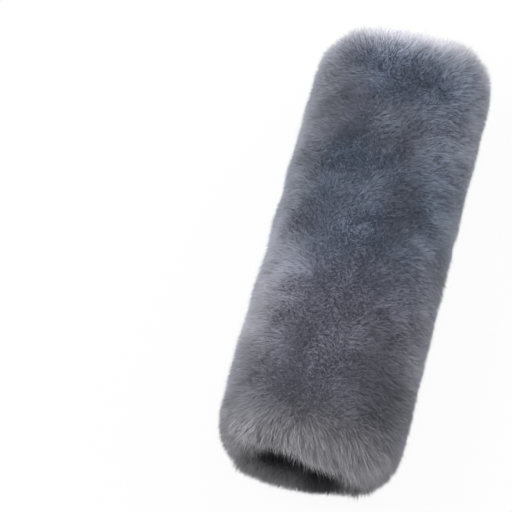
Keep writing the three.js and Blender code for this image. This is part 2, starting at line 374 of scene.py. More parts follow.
class PatternNodes:
    """Short forms for the nodes that the finishes are made of."""

    def __init__(self, tree):
        self.tree = tree

    def add(self, kind, **settings):
        node = self.tree.nodes.new(kind)
        for name, value in settings.items():
            setattr(node, name, value)
        return node

    def link(self, source, target):
        self.tree.links.new(source, target)

    def feed(self, value, socket):
        if isinstance(value, bpy.types.NodeSocket):
            self.link(value, socket)
        else:
            socket.default_value = value

    def math(self, operation, first, second=0.0):
        node = self.add("ShaderNodeMath", operation=operation)
        self.feed(first, node.inputs[0])
        self.feed(second, node.inputs[1])
        return node.outputs[0]

    def noise(self, vector, scale, detail=3.0, roughness=0.5):
        node = self.add("ShaderNodeTexNoise")
        self.link(vector, node.inputs["Vector"])
        self.feed(scale, node.inputs["Scale"])
        node.inputs["Detail"].default_value = detail
        node.inputs["Roughness"].default_value = roughness
        return node.outputs["Fac"]

    def spread(self, value, low, high):
        node = self.add("ShaderNodeMapRange", interpolation_type="SMOOTHSTEP")
        self.feed(value, node.inputs["Value"])
        node.inputs["From Min"].default_value = low
        node.inputs["From Max"].default_value = high
        return node.outputs["Result"]

    def blob(self, vector, middle, half_size):
        """1 at the middle of a soft round region, falling to 0 at its edge."""
        away = self.add("ShaderNodeVectorMath", operation="SUBTRACT")
        self.link(vector, away.inputs[0])
        away.inputs[1].default_value = middle
        scaled = self.add("ShaderNodeVectorMath", operation="DIVIDE")
        self.link(away.outputs["Vector"], scaled.inputs[0])
        scaled.inputs[1].default_value = half_size
        reach = self.add("ShaderNodeVectorMath", operation="LENGTH")
        self.link(scaled.outputs["Vector"], reach.inputs[0])
        return self.spread(reach.outputs["Value"], 1.0, 0.0)

    def mix(self, share, first, second, blend="MIX"):
        node = self.add("ShaderNodeMix", data_type="RGBA", blend_type=blend)
        self.feed(share, node.inputs[0])
        self.feed(first, node.inputs[6])
        self.feed(second, node.inputs[7])
        return node.outputs[2]

    def shaded(self, colour, strength):
        """A colour made darker or paler by a plain strength."""
        grey = self.add("ShaderNodeCombineColor")
        for channel in ("Red", "Green", "Blue"):
            self.link(strength, grey.inputs[channel])
        return self.mix(1.0, colour, grey.outputs["Color"], "MULTIPLY")

    def relief(self, shader, height, distance, strength=1.0):
        """Raises a fine relief on the surface."""
        bump = self.add("ShaderNodeBump")
        bump.inputs["Strength"].default_value = strength
        bump.inputs["Distance"].default_value = distance
        self.link(height, bump.inputs["Height"])
        self.link(bump.outputs["Normal"], shader.inputs["Normal"])


def rgba(colour):
    """A property's colour with full alpha."""
    return (*colour, 1.0)


def paler(colour, times):
    """A colour made paler by so many times, with full alpha."""
    return rgba(tuple(min(1.0, times * part) for part in colour))


def new_finish(name, roughness):
    """An empty material with its surface shader, and the short forms for its nodes."""
    material = bpy.data.materials.new(name)
    material.use_nodes = True
    tree = material.node_tree
    shader = tree.nodes["Principled BSDF"]
    shader.inputs["Roughness"].default_value = roughness
    return material, shader, PatternNodes(tree)


def new_pattern(name, inputs, outputs):
    """An empty node group with named inputs and outputs."""
    group = bpy.data.node_groups.new(name, "ShaderNodeTree")
    for socket, kind in inputs:
        group.interface.new_socket(socket, in_out="INPUT", socket_type=kind)
    for socket, kind in outputs:
        group.interface.new_socket(socket, in_out="OUTPUT", socket_type=kind)
    nodes = PatternNodes(group)
    return group, nodes, nodes.add("NodeGroupInput"), nodes.add("NodeGroupOutput")


def dye_and_light_pattern():
    """The clouded dye of the wool with painted light: slate with mauve patches, darker and paler in
    random drifts and in clouds that are partly painted light and shade, fading to grey at the near end,
    towards the sides and at the far end, where the grey is part of the painted pale rim.
    """
    name = "Clouded dye and painted light"
    if name in bpy.data.node_groups:
        return bpy.data.node_groups[name]
    group, nodes, given, result = new_pattern(
        name,
        [(shade, "NodeSocketColor") for shade in ("Slate", "Mauve", "Grey")],
        [("Colour", "NodeSocketColor"), ("Drift and painted light", "NodeSocketFloat")],
    )
    place = nodes.add("ShaderNodeTexCoord").outputs["Object"]
    patches = nodes.spread(nodes.noise(place, 21.0, 2.0), 0.36, 0.66)
    drift_and_painted_light = nodes.math("MULTIPLY", nodes.spread(nodes.noise(place, 48.0, 4.0, 0.6), 0.3, 0.72), 0.20)
    drift_and_painted_light = nodes.math("ADD", drift_and_painted_light, 0.86)
    # Clouds of painted light and shade, with some dye patches among them
    for middle, half_size, strength in DYE_AND_PAINTED_LIGHT_CLOUDS:
        cloud = nodes.math("MULTIPLY", nodes.blob(place, middle, half_size), strength)
        drift_and_painted_light = nodes.math("ADD", drift_and_painted_light, cloud)
    parts = nodes.add("ShaderNodeSeparateXYZ")
    nodes.link(place, parts.inputs["Vector"])
    near_half = nodes.spread(parts.outputs["Y"], 0.020, -0.060)
    patches = nodes.math("MAXIMUM", nodes.math("MULTIPLY", patches, 0.55), near_half)
    drift_and_painted_light = nodes.math("ADD", drift_and_painted_light, nodes.math("MULTIPLY", near_half, 0.07))
    dyed = nodes.mix(patches, given.outputs["Slate"], given.outputs["Mauve"])
    to_near_end = nodes.spread(parts.outputs["Y"], -0.099, -0.132)
    aside = nodes.math("ABSOLUTE", nodes.math("SUBTRACT", parts.outputs["X"], 0.006))
    to_sides = nodes.spread(aside, 0.022, 0.046)
    # Grey at the far end, as part of the painted pale rim there
    to_far_end = nodes.spread(parts.outputs["Y"], 0.106, 0.134)
    fade = nodes.math("MAXIMUM", to_near_end, nodes.math("MULTIPLY", to_sides, 0.50))
    fade = nodes.math("MAXIMUM", fade, nodes.math("MULTIPLY", to_far_end, 0.95))
    colour = nodes.mix(fade, dyed, given.outputs["Grey"])
    nodes.link(colour, result.inputs["Colour"])
    nodes.link(drift_and_painted_light, result.inputs["Drift and painted light"])
    return group


def place_pattern(nodes, group, **values):
    """A node group placed in a material, with its inputs set by name."""
    node = nodes.add("ShaderNodeGroup", node_tree=group)
    for name, value in values.items():
        nodes.feed(value, node.inputs[name.replace("_", " ").capitalize()])
    return node


def place_dye_and_painted_light(nodes, colours):
    """The clouded dye and painted light in the pad's own colours."""
    return place_pattern(
        nodes,
        dye_and_light_pattern(),
        slate=rgba(colours.wool_body),
        mauve=rgba(colours.wool_mauve),
        grey=rgba(colours.wool_near),
    )


def light_in_wool(nodes, strand):
    """The share of its colour that a place in the wool keeps, by how open it is."""
    opened = nodes.math("MULTIPLY", strand.outputs["Alpha"], 1.0 - LEAST_LIT)
    return nodes.math("ADD", opened, LEAST_LIT)


def strand_finish(name, colours, sheen):
    """Wool strands: dark at the root as painted shade, pale at the tip, each strand and lock a little
    different, with painted shade in the mouths and under their lips.
    """
    material, shader, nodes = new_finish(name, 0.82)
    strand = nodes.add("ShaderNodeAttribute", attribute_name="strand")
    parts = nodes.add("ShaderNodeSeparateColor")
    nodes.link(strand.outputs["Color"], parts.inputs["Color"])
    along, own, lock = parts.outputs["Red"], parts.outputs["Green"], parts.outputs["Blue"]
    dye = place_dye_and_painted_light(nodes, colours)
    rise = nodes.spread(along, 0.0, 0.55)
    tip = nodes.math("MULTIPLY", nodes.spread(along, 0.45, 1.0), 0.55)
    # Painted shade: the dye darkened at the root, growing to its own colour along the strand
    root = nodes.mix(1.0, dye.outputs["Colour"], rgba(colours.wool_root_shade), "MULTIPLY")
    grown = nodes.mix(rise, root, dye.outputs["Colour"])
    pale = nodes.mix(0.5, dye.outputs["Colour"], rgba(colours.wool_tip))
    tipped = nodes.mix(tip, grown, pale)
    shade = nodes.math("ADD", nodes.math("MULTIPLY", own, 0.14), 0.89)
    glint = nodes.math("MULTIPLY", nodes.math("POWER", own, 9.0), 0.80)
    shade = nodes.math("ADD", shade, glint)
    shade = nodes.math("ADD", shade, nodes.math("MULTIPLY", lock, 0.10))
    shade = nodes.math("MULTIPLY", shade, dye.outputs["Drift and painted light"])
    shade = nodes.math("MULTIPLY", shade, light_in_wool(nodes, strand))
    nodes.link(nodes.shaded(tipped, shade), shader.inputs["Base Color"])
    shader.inputs["Specular IOR Level"].default_value = 0.25
    shader.inputs["Sheen Weight"].default_value = sheen
    shader.inputs["Sheen Roughness"].default_value = 0.4
    shader.inputs["Sheen Tint"].default_value = (0.90, 0.88, 0.93, 1.0)
    return material


def undercoat_finish(colours):
    """The matted wool below the strands: dark with painted shade, mostly in the root shade and darker
    still in the mouths and under the fringe, with a fine felted relief.
    """
    material, shader, nodes = new_finish("Wool undercoat", 0.95)
    dye = place_dye_and_painted_light(nodes, colours)
    place = nodes.add("ShaderNodeTexCoord").outputs["Object"]
    fibres = nodes.noise(place, 900.0, 5.0, 0.65)
    # Higher fibres show more of the dye, the rest keep the painted root shade
    depth = nodes.spread(fibres, 0.35, 0.75)
    root = nodes.mix(1.0, dye.outputs["Colour"], rgba(colours.wool_root_shade), "MULTIPLY")
    colour = nodes.mix(nodes.math("MULTIPLY", depth, 0.4), root, dye.outputs["Colour"])
    strand = nodes.add("ShaderNodeAttribute", attribute_name="strand")
    colour = nodes.shaded(colour, light_in_wool(nodes, strand))
    nodes.link(colour, shader.inputs["Base Color"])
    nodes.relief(shader, fibres, distance=0.0015, strength=0.8)
    shader.inputs["Specular IOR Level"].default_value = 0.15
    return material


def hide_finish(colours):
    """The napped flesh side of the hide: mottled, with a fine suede grain and a few creases."""
    material, shader, nodes = new_finish("Hide flesh side", 0.9)
    place = nodes.add("ShaderNodeTexCoord").outputs["Object"]
    mottle = nodes.spread(nodes.noise(place, 60.0, 4.0, 0.6), 0.3, 0.75)
    nap = nodes.noise(place, 1600.0, 4.0, 0.7)
    creases = nodes.noise(place, 140.0, 3.0, 0.5)
    mottled = nodes.math("MULTIPLY", mottle, 0.6)
    colour = nodes.mix(mottled, rgba(colours.hide), paler(colours.hide, 1.7))
    dark = nodes.mix(nodes.spread(nap, 0.35, 0.65), (0.62, 0.62, 0.62, 1.0), (1.0, 1.0, 1.0, 1.0))
    nodes.link(nodes.mix(1.0, colour, dark, "MULTIPLY"), shader.inputs["Base Color"])
    height = nodes.math("ADD", nap, nodes.math("MULTIPLY", creases, 1.6))
    nodes.relief(shader, height, distance=0.0004, strength=0.5)
    shader.inputs["Sheen Weight"].default_value = 0.2
    return material


def tape_finish(name, colour, pitch, relief):
    """Touch-close tape: rows of small hooks or loops on a woven ground."""
    material, shader, nodes = new_finish(name, 0.7)
    place = nodes.add("ShaderNodeTexCoord").outputs["Object"]
    cells = nodes.add("ShaderNodeTexVoronoi", feature="F1")
    nodes.link(place, cells.inputs["Vector"])
    cells.inputs["Scale"].default_value = 1.0 / pitch
    cells.inputs["Randomness"].default_value = 0.35
    rise = nodes.spread(cells.outputs["Distance"], 0.65, 0.1)
    nodes.link(nodes.mix(rise, rgba(colour), paler(colour, 3.0)), shader.inputs["Base Color"])
    nodes.relief(shader, rise, distance=relief, strength=0.9)
    return material


def thread_finish(colours):
    """Twisted sewing thread: slanting plies along the seam."""
    material, shader, nodes = new_finish("Sewing thread", 0.6)
    place = nodes.add("ShaderNodeTexCoord").outputs["Object"]
    turned = nodes.add("ShaderNodeMapping")
    turned.inputs["Rotation"].default_value = (0.0, 0.0, math.radians(35))
    nodes.link(place, turned.inputs["Vector"])
    plies = nodes.add("ShaderNodeTexWave", bands_direction="Y")
    nodes.link(turned.outputs["Vector"], plies.inputs["Vector"])
    plies.inputs["Scale"].default_value = 900.0
    colour = nodes.mix(plies.outputs["Fac"], rgba(colours.thread), paler(colours.thread, 1.8))
    nodes.link(colour, shader.inputs["Base Color"])
    nodes.relief(shader, plies.outputs["Fac"], distance=0.0001)
    return material


def merged_copy(node_name, name):
    """A separate copy of a CAD solid, with its loose triangles joined."""
    piece = bpy.data.objects.new(name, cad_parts[node_name].data.copy())
    bpy.context.scene.collection.objects.link(piece)
    piece.data.materials.clear()
    select_only(piece)
    bpy.ops.object.mode_set(mode="EDIT")
    bpy.ops.mesh.select_all(action="SELECT")
    bpy.ops.mesh.remove_doubles(threshold=1e-6)
    bpy.ops.object.mode_set(mode="OBJECT")
    return piece


def add_plug(place, size):
    """A box that closes the narrow parting underneath, as the undercoat runs on under it."""
    bpy.ops.mesh.primitive_cube_add(size=1, location=place)
    plug = bpy.context.object
    plug.scale = size
    return plug


def add_swelling(place, half_size):
    """A soft ball of wool that shapes the near mouth."""
    bpy.ops.mesh.primitive_uv_sphere_add(segments=32, ring_count=16, radius=1, location=place)
    ball = bpy.context.object
    ball.scale = half_size
    return ball


def fill_out(piece):
    """Joins the plug and the swellings to the wool, and makes one skin of it all."""
    plug_size = (PLUG_WIDTH, 2 * (WOOL_HIGH[1] - PLUG_END_GAP), PLUG_HEIGHT)
    extras = [add_plug((PARTING_X, 0, PLUG_MIDDLE_Z), plug_size)]
    extras += [add_swelling(place, half_size) for place, half_size in MOUTH_SWELLINGS]
    bpy.ops.object.select_all(action="DESELECT")
    for extra in extras:
        extra.select_set(True)
    bpy.context.view_layer.objects.active = extras[0]
    bpy.ops.object.transform_apply(location=True, rotation=True, scale=True)
    piece.select_set(True)
    bpy.context.view_layer.objects.active = piece
    bpy.ops.object.join()
    piece.data.remesh_voxel_size = UNDERCOAT_GRAIN
    bpy.ops.object.voxel_remesh()


def on_inner_wall(points):
    """True where a point of the wool lies against the hide."""
    margin = INNER_WALL_MARGIN
    beside = np.abs(points[:, 0]) < HIDE_HIGH[0] + margin
    along = np.abs(points[:, 1]) < HIDE_HIGH[1] + INNER_END_MARGIN
    over = (points[:, 2] > HIDE_LOW[2] - margin) & (points[:, 2] < HIDE_HIGH[2] + margin)
    return beside & along & over


def to_mouth(points):
    """0 along the body of the pad, rising to 1 at the tip of either mouth."""
    return ramp(np.abs(points[:, 1]), WOOL_HIGH[1] - 0.034, WOOL_HIGH[1])


def above_mouth(points):
    """0 on the lower lip of a mouth, rising to 1 on its upper lip."""
    return ramp(points[:, 2], 0.018, 0.030)


def set_back_lips(points):
    """Draws the undercoat back at both mouths, most of all the lip that the fringe hangs from."""
    near = points[:, 1] < 0
    recess = np.where(near, 0.0015 + 0.0037 * above_mouth(points), 0.0020)
    along = np.abs(points[:, 1])
    points[:, 1] -= np.sign(points[:, 1]) * recess * ramp(along, 0.105, 0.137)
    return points


class ShoulderPadUndercoat(bpy.types.Operator):
    """Adds the matted undercoat that the wool strands stand on"""

    bl_idname = "shoulder_pad.undercoat"
    bl_label = "Add Undercoat"

    def execute(self, context):
        wool = context.scene.pad_wool
        piece = merged_copy("wool_pile", "wool_undercoat")
        fill_out(piece)
        points = vertex_array(piece.data, "co")
        normals = unit(vertex_array(piece.data, "normal"))
        inner = on_inner_wall(points)
        depth = np.where(inner, 0.0, wool.undercoat_depth)
        depth *= (1 - 0.3 * to_mouth(points)) * (1 - SHALLOWER_AT_LEFT * left_side(points))
        points -= normals * depth[:, None]
        points = set_back_lips(points)
        piece.data.vertices.foreach_set("co", points.ravel())
        smooth = piece.modifiers.new("Settle", "SMOOTH")
        smooth.iterations = UNDERCOAT_SMOOTHINGS
        bpy.ops.object.modifier_apply(modifier=smooth.name)
        bpy.ops.object.shade_smooth()
        values = np.ones((len(points), 4), np.float32)
        settled = vertex_array(piece.data, "co")
        # Painted shade on the undercoat: darker in the mouths, under their lips and under the fringe
        values[:, 3] = painted_light_share(settled) * (1 - 0.6 * under_fringe(settled))
        strand = piece.data.attributes.new("strand", "FLOAT_COLOR", "POINT")
        strand.data.foreach_set("color", values.ravel())
        piece.data.materials.append(undercoat_finish(context.scene.pad_colours))
        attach(piece, "root")
        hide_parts("wool_pile")
        return {"FINISHED"}


def scattered_roots(piece, count, density, seed):
    """Random points on a piece, as many to the area as density says, with their normals."""
    rng = np.random.default_rng(seed)
    mesh = piece.data
    mesh.calc_loop_triangles()
    corners = np.empty(3 * len(mesh.loop_triangles), np.int32)
    mesh.loop_triangles.foreach_get("vertices", corners)
    corners = corners.reshape(-1, 3)
    points = vertex_array(mesh, "co")
    normals = vertex_array(mesh, "normal")
    a, b, c = (points[corners[:, k]] for k in range(3))
    area = np.linalg.norm(np.cross(b - a, c - a), axis=1) / 2
    weight = area * density((a + b + c) / 3, unit(normals[corners].mean(axis=1)))
    chosen = rng.choice(len(corners), count, p=weight / weight.sum())
    first, second = rng.random((2, count, 1))
    over = first + second > 1
    first, second = np.where(over, 1 - first, first), np.where(over, 1 - second, second)
    shares = (1 - first - second, first, second)
    root = sum(part * points[corners[chosen, k]] for k, part in enumerate(shares))
    normal = sum(part * normals[corners[chosen, k]] for k, part in enumerate(shares))
    return root, unit(normal)


def tufted(points):
    """How far the wool stands in tufts: 0 at the smooth left side, rising to 1 by the middle."""
    return ramp(points[:, 0], -0.030, 0.002)


def across_mouth(points):
    """0 at the left end of a mouth, rising to 1 at its right end."""
    return ramp(points[:, 0], -0.025, 0.020)


def combed(points, normals):
    """The way the wool lies: fanned out at the mouths, and leaning towards the near end and to the
    right in soft drifts between."""
    x, y = points[:, 0], points[:, 1]
    near = ramp(-y - 0.008 * across_mouth(points), 0.096, 0.130)
    far = ramp(y, 0.095, 0.137)
    above = ramp(points[:, 2], 0.016, 0.032)
    fan = np.clip((x - FAN_X) / 0.020, -0.7, 1.0) * (1 - 0.5 * ramp(x, 0.010, 0.035))
    lay = 0.27 * smooth_noise(points, 0.024, 11) + 0.22 * smooth_noise(points, 0.010, 12)
    curl = 0.06 + 0.09 * tufted(points) + 0.20 * near
    lay += curl[:, None] * smooth_noise(points, 0.0045, 13)
    lay[:, 1] -= (COMBED_TO_NEAR_END + COMBED_FURTHER_IN_TUFTS * tufted(points)) * (1 - far)
    lay[:, 0] += COMBED_TO_RIGHT * tufted(points) * (1 - near) * (1 - far)
    lay[:, 0] += 1.00 * fan * near * above + 3.0 * x * far
    lay[:, 1] += 0.4 * far - (0.10 + 0.45 * above) * near
    lay[:, 2] -= 0.15 + 0.35 * near * above
    across = (lay * normals).sum(axis=1, keepdims=True)
    return lay - across * normals


def on_upper_lip(points):
    """1 on the wool that hangs over the near mouth, fading to 0 away from it."""
    near = ramp(-points[:, 1] - 0.006 * across_mouth(points), RIM_START, RIM_FULL)
    across = 1 - ramp(np.abs(points[:, 0] + 0.002), 0.030, 0.042)
    return near * above_mouth(points) * across


def under_fringe(points):
    """1 on the low edge of the near upper lip, which is seen only between the wisps over it and is
    given painted shade.
    """
    return on_upper_lip(points) * (1 - ramp(points[:, 2], 0.031, 0.040))


def left_side(points):
    """1 on the left side of the body, where the wool is smooth and pale."""
    return ramp(-points[:, 0], 0.020, 0.044) * (1 - ramp(-points[:, 1], 0.085, 0.120))


def fuller(points):
    """How much further the wool stands on the left side, at the far end and right of the mouth."""
    x, y = points[:, 0], points[:, 1]
    left = left_side(points)
    far = ramp(y, 0.112, 0.134)
    right = ramp(-y, 0.112, 0.130) * ramp(x, 0.012, 0.028)
    return np.maximum(np.maximum(0.65 * left, 1.30 * far), 0.65 * right)


def painted_light_share(points):
    """Painted light: 1 for wool in the open, falling towards 0 with painted shade in the near and far
    mouths and under their lips.
    """
    past = ramp(np.abs(points[:, 1]), 0.1215, 0.1300)
    across = ramp(points[:, 0], -0.037, -0.030) * (1 - ramp(points[:, 0], 0.013, 0.026))
    across *= 0.64 + 0.36 * ramp(points[:, 0], -0.027, -0.012)
    low = 1 - ramp(points[:, 2], 0.022, 0.029)
    outer = ramp(np.abs(points[:, 1]) - 0.5 * points[:, 2], 0.1190, 0.1330)
    # Painted shadow of the near upper lip over the right of its lower lip
    overhung = ramp(points[:, 0], -0.008, 0.008) * (points[:, 1] < 0)
    overhung *= ramp(points[:, 2], 0.000, 0.010)
    outer *= 1 - 0.80 * overhung
    return 1 - past * across * low * (0.88 + 0.12 * overhung - 0.42 * outer)


def nearest_lock(roots, strands_in_lock, rng):
    """For each strand, the number of the strand that its lock gathers to."""
    count = len(roots)
    lock_count = max(1, int(count / strands_in_lock))
    locks = rng.choice(count, lock_count, replace=False)
    tree = KDTree(lock_count)
    for number, lock in enumerate(locks):
        tree.insert(Vector(roots[lock]), number)
    tree.balance()
    return np.array([locks[tree.find(Vector(root))[1]] for root in roots])


def grow_strands(roots, normals, settings, strands_in_lock, seed):
    """Where each strand goes: its way out, its bend, its length and the lock that it leans to."""
    rng = np.random.default_rng(seed)
    count = len(roots)
    lip = on_upper_lip(roots)
    lean = combed(roots, normals)
    way = unit(normals + lean + (0.19 + 0.32 * lip)[:, None] * rng.normal(size=(count, 3)))
    rise = np.maximum((way * normals).sum(axis=1), 0.6)
    depth = settings.undercoat_depth * (1 - SHALLOWER_AT_LEFT * left_side(roots))
    clipped = (depth + settings.clipped_above * (1 + fuller(roots))) / rise
    sag = ramp(roots[:, 0], -0.020, 0.018)
    length = clipped + (settings.fringe_length * (1 + 0.40 * sag) - clipped) * lip
    length = length * rng.uniform(0.84 - 0.30 * lip, 1.06 + 0.12 * lip, count)
    length *= 1 + 0.06 * smooth_noise(roots, 0.012, 21)[:, 0]
    length *= 1 + 0.38 * lip * smooth_noise(roots, 0.0030, 22)[:, 0]
    droop = np.zeros((count, 3))
    droop[:, 2] = -0.10 - (0.45 + 0.50 * sag) * lip
    bend = (droop + 0.35 * lean) * length[:, None] * 0.5
    bend += (0.16 * lip * length)[:, None] * rng.normal(size=(count, 3))

    nearest = nearest_lock(roots, strands_in_lock, rng)
    own_tip = roots + way * length[:, None]
    reach = np.linalg.norm(roots - roots[nearest], axis=1)
    beside = 1 - ramp(normals[:, 2], 0.1, 0.5)
    rim = ramp(np.abs(roots[:, 1]), RIM_START, RIM_FULL)
    gathered = np.maximum(0.14 + 0.26 * tufted(roots), 0.40 * beside) * (1 - 0.65 * rim)
    gathered = np.maximum(gathered, 0.62 * lip)
    pull = gathered * np.exp(-((reach / settings.lock_spacing) ** 2))
    aim = own_tip + (own_tip[nearest] - own_tip) * pull[:, None] - roots
    contrast = 0.5 + 0.7 * tufted(roots) + 2.4 * lip
    shades = 0.5 + (rng.random(count)[nearest] - 0.5) * contrast
    return unit(aim), bend, length, shades


def above_rest(points):
    """Points kept just above the surface that the pad lies on."""
    points[:, 2] = np.maximum(points[:, 2], REST_CLEARANCE)
    return points


def strand_points(roots, way, bend, length, width, levels, seed):
    """The corners of every strand: a triangle at each level, narrowing to the tip."""
    rng = np.random.default_rng(seed)
    side = unit(np.cross(way, rng.normal(size=(len(roots), 3))))
    other = np.cross(way, side)
    rows = []
    for level, share in zip(levels, (1 - levels) ** STRAND_TAPER):
        centre = roots + way * (length * level)[:, None] + bend * level**2
        for corner in range(3):
            turn = 2 * math.pi * corner / 3
            out = math.cos(turn) * side + math.sin(turn) * other
            rows.append(centre + out * (0.5 * width * share)[:, None])
    rows.append(above_rest(roots + way * length[:, None] + bend))
    return np.stack(rows, axis=1).reshape(-1, 3)


def strand_faces(levels):
    """The triangles of one strand, and where their corners lie in its own square of UV."""
    rings = len(levels)
    tip = 3 * rings
    heights = [0.03 + 0.94 * level for level in levels]
    faces = [(0, 2, 1)]
    places = [((0.80, 0.05), (0.95, 0.05), (0.875, 0.2))]
    for corner in range(3):
        after = (corner + 1) % 3
        left, right = 0.02 + 0.25 * corner, 0.02 + 0.25 * corner + 0.22
        middle = (left + right) / 2
        edge = [
            (left + (middle - left) * level, right + (middle - right) * level) for level in levels
        ]
        for ring in range(rings - 1):
            low, high = 3 * ring, 3 * ring + 3
            a, b = edge[ring], edge[ring + 1]
            at, to = heights[ring], heights[ring + 1]
            faces.append((low + corner, low + after, high + after))
            places.append(((a[0], at), (a[1], at), (b[1], to)))
            faces.append((low + corner, high + after, high + corner))
            places.append(((a[0], at), (b[1], to), (b[0], to)))
        top = tip - 3
        at = heights[-1]
        faces.append((top + corner, top + after, tip))
        places.append(((edge[-1][0], at), (edge[-1][1], at), (middle, 0.97)))
    return np.array(faces), np.array(places)


def packed_uv(places, count):
    """The UV of every strand's corners, with each strand in its own square of one grid."""
    grid = math.ceil(math.sqrt(count))
    cell = np.stack([np.arange(count) % grid, np.arange(count) // grid], axis=1)
    return (places[None] + cell[:, None, None, :]) / grid


def strand_values(roots, shades, own, along):
    """What the finish reads: the place along a strand, its own tone, its lock's, and its painted light,
    which is painted shade in the mouths and darker at random on some strands of the upper lip.
    """
    values = np.ones((len(roots), len(along), 4), np.float32)
    values[:, :, 0] = along
    lip = on_upper_lip(roots)
    lit = lip * (0.5 + 0.5 * ramp(roots[:, 0], -0.025, 0.0))
    rim = ramp(-roots[:, 1], RIM_START, RIM_FULL)
    values[:, :, 1] = (own * (0.80 + 0.08 * rim + 0.12 * lit))[:, None]
    values[:, :, 2] = shades[:, None]
    # Painted shade in the mouths and under their lips, with some upper-lip strands darker at random
    values[:, :, 3] = (painted_light_share(roots) * (1 - 0.55 * lip * (1 - own)))[:, None]
    return values


def soft_normals(points, triangles, normals):
    """Normals for the strands' corners: the undercoat's own, turned a little to each face."""
    a, b, c = (points[triangles[:, corner]] for corner in range(3))
    flat = unit(np.cross(b - a, c - a))
    soft = np.repeat(normals, len(triangles) // len(normals), axis=0)
    against = -(soft * flat).sum(axis=1, keepdims=True)
    soft = unit(soft + np.maximum(0.45, against + 0.2) * flat)
    return np.repeat(soft, 3, axis=0).astype(np.float32)


def strand_mesh(name, roots, normals, way, bend, length, shades, own, width, rings, seed):
    """One mesh of many closed, three-sided, tapering strands, each with its own patch of UV."""
    count = len(roots)
    levels = np.linspace(0, 1, rings + 1)[:-1]
    points = strand_points(roots, way, bend, length, width, levels, seed)
    faces, places = strand_faces(levels)
    per_strand = 3 * rings + 1
    loops = (faces[None] + per_strand * np.arange(count)[:, None, None]).reshape(-1)
    uv = packed_uv(places, count)
    values = strand_values(roots, shades, own, np.append(np.repeat(levels, 3), 1.0))
    corners = soft_normals(points, loops.reshape(-1, 3), normals)

    mesh = bpy.data.meshes.new(name)
    mesh.vertices.add(len(points))
    mesh.vertices.foreach_set("co", points.astype(np.float32).ravel())
    mesh.loops.add(len(loops))
    mesh.loops.foreach_set("vertex_index", loops.astype(np.int32))
    mesh.polygons.add(len(loops) // 3)
    mesh.polygons.foreach_set("loop_start", np.arange(0, len(loops), 3, dtype=np.int32))
    mesh.update(calc_edges=True)
    mesh.uv_layers.new(name="OFBake").data.foreach_set("uv", uv.astype(np.float32).ravel())
    mesh.attributes.new("strand", "FLOAT_COLOR", "POINT").data.foreach_set("color", values.ravel())
    mesh.shade_smooth()
    mesh.attributes.new("custom_normal", "FLOAT_VECTOR", "CORNER").data.foreach_set(
        "vector", corners.ravel()
    )
    return mesh


def wool_regions():
    """Each region of the wool: its name, which roots are its own, how many strands it has, how many
    rings each has, and how many lean together in a lock."""

    def end(points):
        return np.abs(points[:, 1]) > WOOL_HIGH[1] - END_LENGTH

    def near_end(points):
        return end(points) & (points[:, 1] < 0)

    def hanging(points):
        return near_end(points) & (on_upper_lip(points) > HANGING_FROM)

    def lining(points):
        return end(points) & ~hanging(points) & (painted_light_share(points) < LINING_BELOW)

    def body(points, normals):
        return ~end(points) & (normals[:, 2] > BACK_BELOW)

    def face(points, normals):
        return body(points, normals) & (normals[:, 2] > FACE_FROM)

    def side(points, normals):
        return body(points, normals) & (normals[:, 2] <= FACE_FROM)

    def back(points, normals):
        return ~end(points) & (normals[:, 2] <= BACK_BELOW)

    def near_rim(points):
        return near_end(points) & ~hanging(points) & ~lining(points)

    def far_rim(points):
        return end(points) & (points[:, 1] >= 0) & ~lining(points)

    return (
        ("wool_face_near", lambda p, n: face(p, n) & (p[:, 1] < 0), 45000, 1, BODY_LOCK),
        ("wool_face_far", lambda p, n: face(p, n) & (p[:, 1] >= 0), 45000, 1, BODY_LOCK),
        ("wool_left_side", lambda p, n: side(p, n) & (p[:, 0] < 0), 25500, 1, BODY_LOCK),
        ("wool_right_side", lambda p, n: side(p, n) & (p[:, 0] >= 0), 25500, 1, BODY_LOCK),
        ("wool_back", back, 7100, 1, BODY_LOCK),
        ("near_fringe", lambda p, n: hanging(p), 16000, 2, FRINGE_LOCK),
        ("near_rim", lambda p, n: near_rim(p), 18500, 1, BODY_LOCK),
        ("far_rim", lambda p, n: far_rim(p), 19500, 1, BODY_LOCK),
        ("mouth_lining", lambda p, n: lining(p), 6000, 1, BODY_LOCK),
    )


def clear_of_parting(points):
    """True where a point isn't on the bare strip underneath."""
    return (
        (np.abs(points[:, 0] - PARTING_X) > PARTING_HALF_WIDTH)
        | (points[:, 2] > PARTING_HEIGHT)
        | (np.abs(points[:, 1]) > PARTING_REACH)
    )


